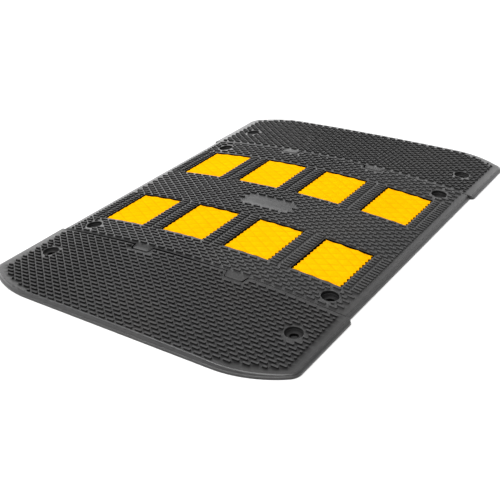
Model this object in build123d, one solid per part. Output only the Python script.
from build123d import *
import os

# Rubber speed bump: a centre module with recessed inserts, and an interlocking
# cap at each end.
# +X is the direction of traffic (the arched one), +Y runs across the road,
# +Z is up.  The origin is the middle of the whole underside.  Millimetres.
# "Near" is the -Y end and "far" the +Y end.  All tabs point towards -Y.

# Overall
HEIGHT = 30.0            # crown of the hump above the road
CENTRE_WIDTH = 600.0     # centre module along X
CENTRE_LENGTH = 485.0    # centre module along Y, seam to seam
TOTAL_LENGTH = 890.0     # all three modules along Y
SEAM_Y = CENTRE_LENGTH / 2
END_Y = TOTAL_LENGTH / 2
SEAM_GAP = 0.8           # gap between the centre module and the face of a cap

# Cross-section
ARCH_HALF = CENTRE_WIDTH / 2
ARCH_EDGE_Z = 8.0        # height of the crown parabola at x = ARCH_HALF
SHOULDER_X = 290.5       # where the centre module's arch meets its steep shoulder
SHOULDER_RUN = 4.5       # horizontal run of the shoulder
LIP_Z_IN = 4.2           # lip thickness at the foot of the shoulder
LIP_Z_OUT = 3.8          # lip thickness at its outer edge, and all over the caps

# Tabs and sockets
TAB_XS = (-98.0, 98.0)
TAB_BASE = 40.0          # width at the seam
TAB_TIP = 34.0
TAB_LENGTH = 13.5
TAB_ROOT = 6.0           # overlap of a tab into its own module
TAB_CLEAR = 1.0          # growth of a socket over its tab
CENTRE_TAB_DROP = 0.2    # centre module's tab tops below the arch
CAP_TAB_DROP = 0.3       # far cap's tab tops below the arch
TAB_TRIM_WIDTH = 60.0    # width of the profile that trims a tab's top

# Inserts and pockets, in two rows of four
INSERT_PITCH_X = 136.7
INSERT_XS = [step * INSERT_PITCH_X for step in (-1.5, -0.5, 0.5, 1.5)]
INSERT_ROWS = (("near", -120.6), ("far", 120.6))
INSERT_WIDTH = 91.5      # along X
INSERT_LENGTH = 114.0    # along Y
INSERT_CORNER_R = 2.0
INSERT_RECESS = 3.0      # top of an insert below the arch
POCKET_CLEAR = 1.5       # gap around an insert
POCKET_WIDTH = INSERT_WIDTH + 2 * POCKET_CLEAR
POCKET_LENGTH = INSERT_LENGTH + 2 * POCKET_CLEAR
POCKET_CORNER_R = INSERT_CORNER_R + 0.5
POCKET_DEPTH = 7.0
POCKET_SHELL_RISE = 12.0  # top of the pocket cutter above the arch
SHELL_HALF = 285.0       # half width of the arched slabs

# Anchor holes
HOLE_D = 14.0            # through hole for an M12 anchor
BORE_D = 29.0            # head recess
LEDGE_Z = 5.0            # height of the seat in the head recess
CENTRE_HOLE_X = 250.5
CENTRE_HOLE_Y = 211.0
CAP_HOLE_X = 252.0
CAP_HOLE_Y = 321.5

# End caps
CAP_OVERHANG = 7.0       # a cap beyond the centre module on each side
CAP_HALF = CENTRE_WIDTH / 2 + CAP_OVERHANG
CAP_FACE_Y = SEAM_Y + SEAM_GAP
CAP_CHAMFER = 6.0        # plan chamfer where the side meets the seam face
CROWN_HALF = 301.0       # half width of the lofted crown
CROWN_INSET = 7.5        # crown inside the edge of the lip
CAP_RIM_Z = 5.0          # height towards which the cap surface sinks
CAP_SINK_LINEAR = 0.0045      # sink per mm from the seam
CAP_SINK_SQUARE = 0.000004    # easing of the sink per mm squared
CROWN_STATIONS = (SEAM_GAP, 50.0, 100.0, 150.0, 215.0)  # distances from the seam

# Half the far cap's plan: x, y, then how far x and y move in per mm of inset.
# The seam face stays put.
CAP_PLAN = [
    (CAP_HALF - CAP_CHAMFER, CAP_FACE_Y, 1.0, 0.0),   # end of the seam face
    (CAP_HALF, CAP_FACE_Y + CAP_CHAMFER, 1.0, 0.0),   # start of the straight side
    (CAP_HALF, 384.0, 1.0, 0.7),                      # end of the straight side
    (302.5, 398.5, 0.92, 0.7),                        # on the small corner arc
    (293.0, 408.0, 0.7, 0.7),                         # where the two arcs meet
    (258.0, 428.5, 0.35, 0.93),                       # on the long arc
    (188.0, END_Y, 0.0, 1.0),                         # end of the straight outer edge
]

# Construction bodies that reach past the rubber
BLOCK_TOP = HEIGHT + 5.0
PLATE_TOP = HEIGHT + 20.0
CUT_BELOW = 1.0          # start of a through cut below the underside
ANCHOR_CUT_LENGTH = 40.0


# ------------------------------------------------------------------- helpers
def arch(x):
    """Height of the centre module's running surface at x."""
    return ARCH_EDGE_Z + (HEIGHT - ARCH_EDGE_Z) * (1 - (x / ARCH_HALF) ** 2)


def cap_surface(x, distance):
    """Height of a cap's running surface at a distance outward of its seam."""
    sink = 1 - CAP_SINK_LINEAR * distance + CAP_SINK_SQUARE * distance ** 2
    return CAP_RIM_Z + (arch(x) - CAP_RIM_Z) * sink


def prism(points, plane, amount):
    """Closed polygon on a plane, extruded along the plane's normal."""
    with BuildPart() as part:
        with BuildSketch(plane):
            with BuildLine():
                Polyline(*points, close=True)
            make_face()
        extrude(amount=amount)
    return part.part


def tab_outline(tab_x, seam_y, grow=0.0):
    """Plan of a tab that tapers from seam_y towards -Y."""
    base = TAB_BASE / 2 + grow
    tip = TAB_TIP / 2 + grow
    root_y = seam_y + TAB_ROOT
    tip_y = seam_y - TAB_LENGTH - grow
    return [(tab_x - base, root_y), (tab_x - base, seam_y), (tab_x - tip, tip_y),
            (tab_x + tip, tip_y), (tab_x + base, seam_y), (tab_x + base, root_y)]


def cut_sockets(body, seam_y):
    """Cut both sockets right through, from seam_y towards -Y."""
    for tab_x in TAB_XS:
        outline = tab_outline(tab_x, seam_y, TAB_CLEAR)
        body = body - prism(outline, Plane.XY.offset(-CUT_BELOW), BLOCK_TOP + CUT_BELOW)
    return body


def anchor_cut(x, y):
    """Through hole with its head recess above the ledge."""
    from_base = (Align.CENTER, Align.CENTER, Align.MIN)
    hole = Cylinder(HOLE_D / 2, ANCHOR_CUT_LENGTH, align=from_base)
    bore = Cylinder(BORE_D / 2, ANCHOR_CUT_LENGTH, align=from_base)
    return Pos(x, y, -CUT_BELOW) * hole + Pos(x, y, LEDGE_Z) * bore


def arch_shell(down, up):
    """Slab between copies of the arch moved down and up, along the centre module."""
    edge_z = arch(SHELL_HALF)
    top_left, top_right = (-SHELL_HALF, edge_z + up), (SHELL_HALF, edge_z + up)
    low_left, low_right = (-SHELL_HALF, edge_z - down), (SHELL_HALF, edge_z - down)
    with BuildPart() as shell:
        with BuildSketch(Plane.XZ):
            with BuildLine():
                ThreePointArc(top_left, (0, HEIGHT + up), top_right)
                Line(top_right, low_right)
                ThreePointArc(low_right, (0, HEIGHT - down), low_left)
                Line(low_left, top_left)
            make_face()
        extrude(amount=CENTRE_LENGTH / 2, both=True)
    return shell.part


def plate_block(x, y, width, length, corner_r):
    """Upright block with rounded plan corners."""
    with BuildPart() as block:
        with BuildSketch():
            with Locations((x, y)):
                RectangleRounded(width, length, corner_r)
        extrude(amount=PLATE_TOP)
    return block.part


def solid_of(shape):
    """The single solid held by a boolean result."""
    found = shape.solids()
    assert len(found) == 1, len(found)
    return found[0]


# ------------------------------------------------------------- centre module
def centre_blank():
    """Arched top, steep shoulders, thin lips and flat base, seam to seam."""
    shoulder_z = arch(SHOULDER_X)
    foot_x = SHOULDER_X + SHOULDER_RUN
    half = CENTRE_WIDTH / 2
    with BuildSketch(Plane.XZ) as profile:
        with BuildLine():
            ThreePointArc((-SHOULDER_X, shoulder_z), (0, arch(0)), (SHOULDER_X, shoulder_z))
            Polyline((SHOULDER_X, shoulder_z), (foot_x, LIP_Z_IN), (half, LIP_Z_OUT),
                     (half, 0), (-half, 0), (-half, LIP_Z_OUT),
                     (-foot_x, LIP_Z_IN), (-SHOULDER_X, shoulder_z))
        make_face()
    blank = extrude(profile.sketch.face(), amount=CENTRE_LENGTH, dir=(0, 1, 0))
    return Pos(0, -SEAM_Y, 0) * blank


def centre_tab(tab_x):
    """Near-side tab whose top falls as the near cap's surface does."""
    block = prism(tab_outline(tab_x, -SEAM_Y), Plane.XY, BLOCK_TOP)
    root_y = -SEAM_Y + TAB_ROOT
    tip_y = -SEAM_Y - TAB_LENGTH
    seam_z = arch(tab_x) - CENTRE_TAB_DROP
    tip_z = seam_z - (arch(tab_x) - cap_surface(tab_x, TAB_LENGTH))
    side_view = [(root_y, 0), (tip_y, 0), (tip_y, tip_z), (-SEAM_Y, seam_z), (root_y, seam_z)]
    trim = prism(side_view, Plane.YZ.offset(tab_x - TAB_TRIM_WIDTH / 2), TAB_TRIM_WIDTH)
    return block & trim


def centre_module():
    body = centre_blank()
    for tab_x in TAB_XS:
        body = body + centre_tab(tab_x)
    body = cut_sockets(body, SEAM_Y)
    shell = arch_shell(POCKET_DEPTH, POCKET_SHELL_RISE)
    for _, y in INSERT_ROWS:
        for x in INSERT_XS:
            block = plate_block(x, y, POCKET_WIDTH, POCKET_LENGTH, POCKET_CORNER_R)
            body = body - (block & shell)
    for x in (-CENTRE_HOLE_X, CENTRE_HOLE_X):
        for y in (-CENTRE_HOLE_Y, CENTRE_HOLE_Y):
            body = body - anchor_cut(x, y)
    return body


def reflector_inserts():
    """Arched plates that stand on the pocket floors, by name."""
    shell = arch_shell(POCKET_DEPTH, -INSERT_RECESS)
    inserts = {}
    for row, y in INSERT_ROWS:
        for number, x in enumerate(INSERT_XS, start=1):
            plate = plate_block(x, y, INSERT_WIDTH, INSERT_LENGTH, INSERT_CORNER_R)
            inserts[f"reflector_insert_{row}_{number}"] = plate & shell
    return inserts


# ------------------------------------------------------------------ end caps
def cap_plate(inset, height):
    """Far cap's plan, moved in on all but the seam face and extruded up."""
    right = [(x - inset * x_rate, y - inset * y_rate) for x, y, x_rate, y_rate in CAP_PLAN]
    left = [(-x, y) for x, y in right]
    with BuildPart() as plate:
        with BuildSketch():
            with BuildLine():
                Line(right[0], left[0])
                Polyline(*left[:3])
                ThreePointArc(*left[2:5])
                ThreePointArc(*left[4:])
                Line(left[6], right[6])
                ThreePointArc(right[6], right[5], right[4])
                ThreePointArc(right[4], right[3], right[2])
                Polyline(right[2], right[1], right[0])
            make_face()
        extrude(amount=height)
    return plate.part


def crown_section(distance):
    """Arched X-Z face of the far cap at a distance from its seam."""
    edge_z = cap_surface(CROWN_HALF, distance)
    left, right = (-CROWN_HALF, edge_z), (CROWN_HALF, edge_z)
    plane = Plane(origin=(0, SEAM_Y + distance, 0), x_dir=(1, 0, 0), z_dir=(0, -1, 0))
    with BuildSketch(plane) as section:
        with BuildLine():
            ThreePointArc(left, (0, cap_surface(0, distance)), right)
            Polyline(right, (CROWN_HALF, 0), (-CROWN_HALF, 0), left)
        make_face()
    return section.sketch.face()


def cap_body():
    """Far cap without tabs: lofted crown on a thin lip plate."""
    crown = loft([crown_section(distance) for distance in CROWN_STATIONS])
    body = (crown & cap_plate(CROWN_INSET, BLOCK_TOP)) + cap_plate(0.0, LIP_Z_OUT)
    for x in (-CAP_HOLE_X, CAP_HOLE_X):
        body = body - anchor_cut(x, CAP_HOLE_Y)
    return body


def tabbed_cap(body):
    """Far cap with two flat-topped tabs for the centre module's sockets."""
    for tab_x in TAB_XS:
        # Each top is set by the arch height at the tab's +X edge.
        top_z = arch(tab_x + TAB_BASE / 2) - CAP_TAB_DROP
        body = body + prism(tab_outline(tab_x, CAP_FACE_Y), Plane.XY, top_z)
    return body


def socketed_cap(body):
    """Near cap, mirrored from the far one, with sockets for the centre's tabs."""
    return cut_sockets(mirror(body, about=Plane.XZ), -SEAM_Y)


# -------------------------------------------------------------------- export
plain_cap = cap_body()
parts = {
    "centre_module": centre_module(),
    "socketed_end_cap_near": socketed_cap(plain_cap),
    "tabbed_end_cap_far": tabbed_cap(plain_cap),
    **reflector_inserts(),
}

os.makedirs("parts", exist_ok=True)
for name, shape in parts.items():
    solid = solid_of(shape)
    solid.label = name
    export_step(solid, f"parts/{name}.step")
